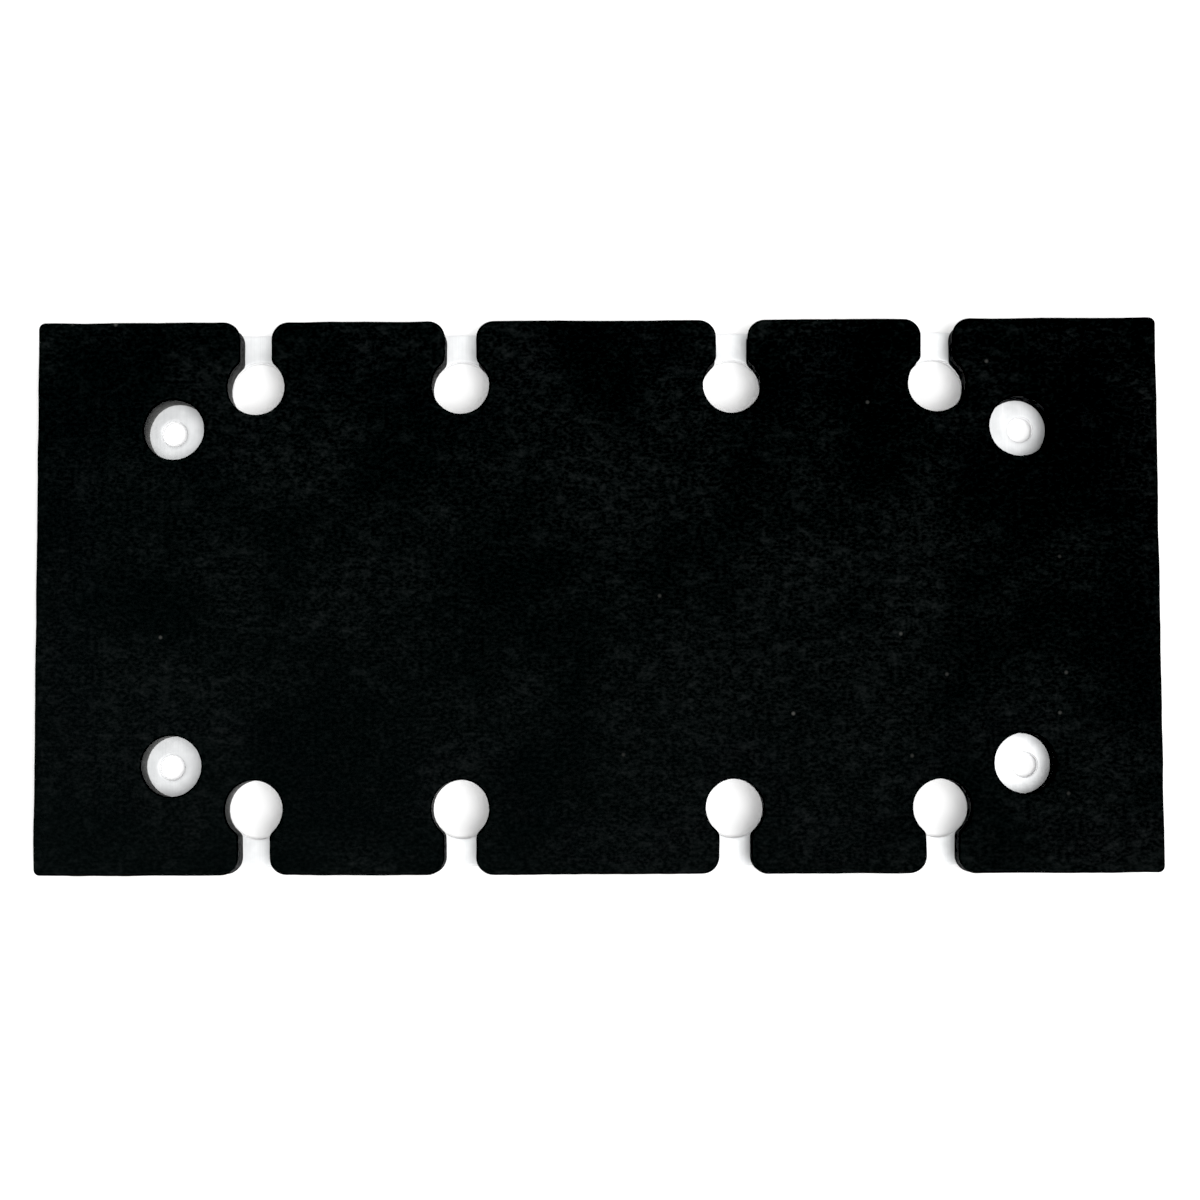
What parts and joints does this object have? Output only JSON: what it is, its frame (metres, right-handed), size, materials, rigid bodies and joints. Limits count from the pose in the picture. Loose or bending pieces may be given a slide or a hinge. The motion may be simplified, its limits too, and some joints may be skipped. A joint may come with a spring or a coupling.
{
  "type": "finishing sander backing pad",
  "caption": "Rectangular sander backing pad: a punched aluminium plate carrying a black sponge cushion with keyhole dust notches and round screw wells.",
  "frame": {"origin": "centre of the pad's length and width, on the back of the base plate", "axes": "+X along the pad's long side, +Y across it, +Z through the layers towards the working face"},
  "size_m": [0.185, 0.0914, 0.009],
  "materials": {
    "plate_aluminium": "bright rolled sheet, punched, satin",
    "film_acrylic": "pale translucent double-sided adhesive film",
    "sponge_rubber": "closed-cell sponge, die-cut walls, matt",
    "face_rubber": "thin dense skin with a fine matt grain"
  },
  "bodies": {
    "root": {"base_plate": "plate_aluminium", "adhesive_film": "film_acrylic", "cushion_sponge": "sponge_rubber", "face_sheet": "face_rubber"}
  },
  "joints": []
}
